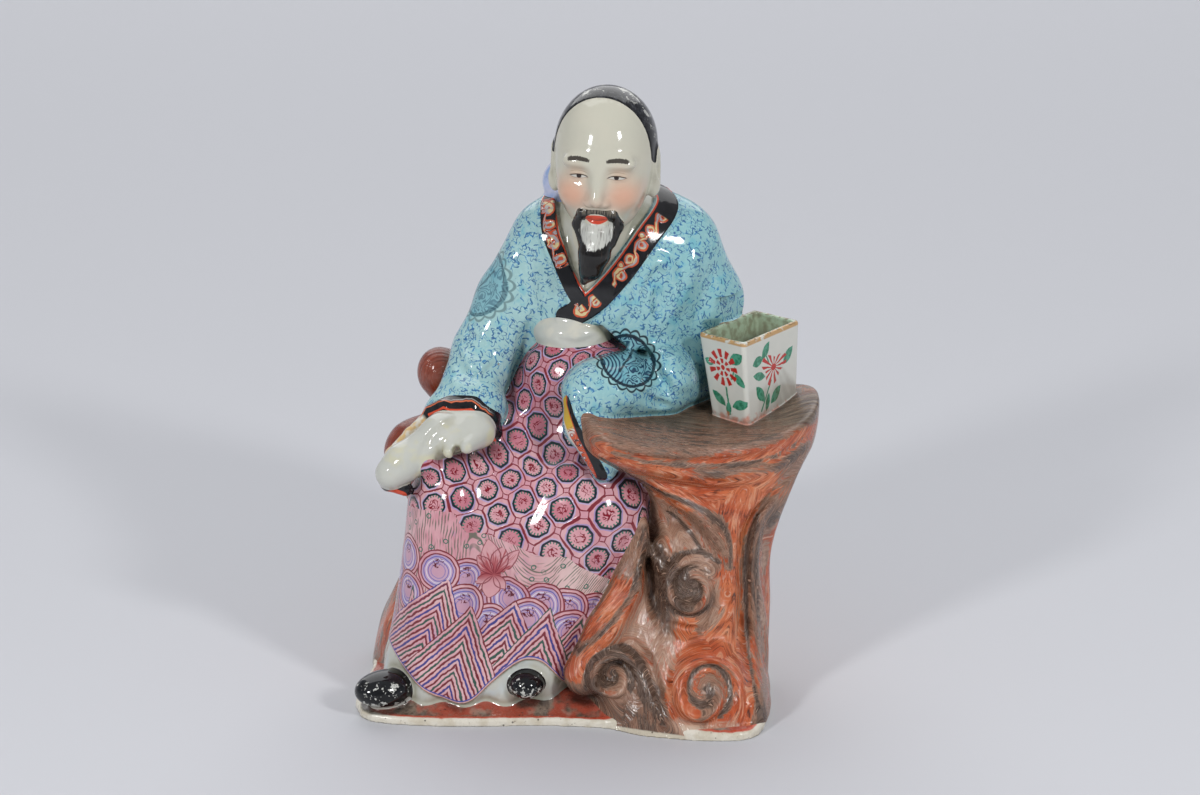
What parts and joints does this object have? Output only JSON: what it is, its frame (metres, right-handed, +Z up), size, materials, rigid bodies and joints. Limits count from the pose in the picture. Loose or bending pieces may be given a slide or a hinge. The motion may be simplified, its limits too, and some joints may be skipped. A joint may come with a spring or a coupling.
{
  "type": "porcelain figure",
  "caption": "Glazed porcelain figure of a bearded scholar in robe and patterned skirt, seated and leaning on a tree-stump table that carries a small brush pot",
  "frame": {"origin": "Centre of the flat underside of the base plate, on the surface that the figure stands on.", "axes": "+Z is up, -Y is the front that the figure faces, +X is to the viewer's right, where the stump table and the pot are."},
  "size_m": [0.1515, 0.1046, 0.2003],
  "materials": {
    "enamelled_porcelain": "glossy"
  },
  "bodies": {
    "root": {"porcelain_figure": "enamelled_porcelain"}
  },
  "joints": []
}
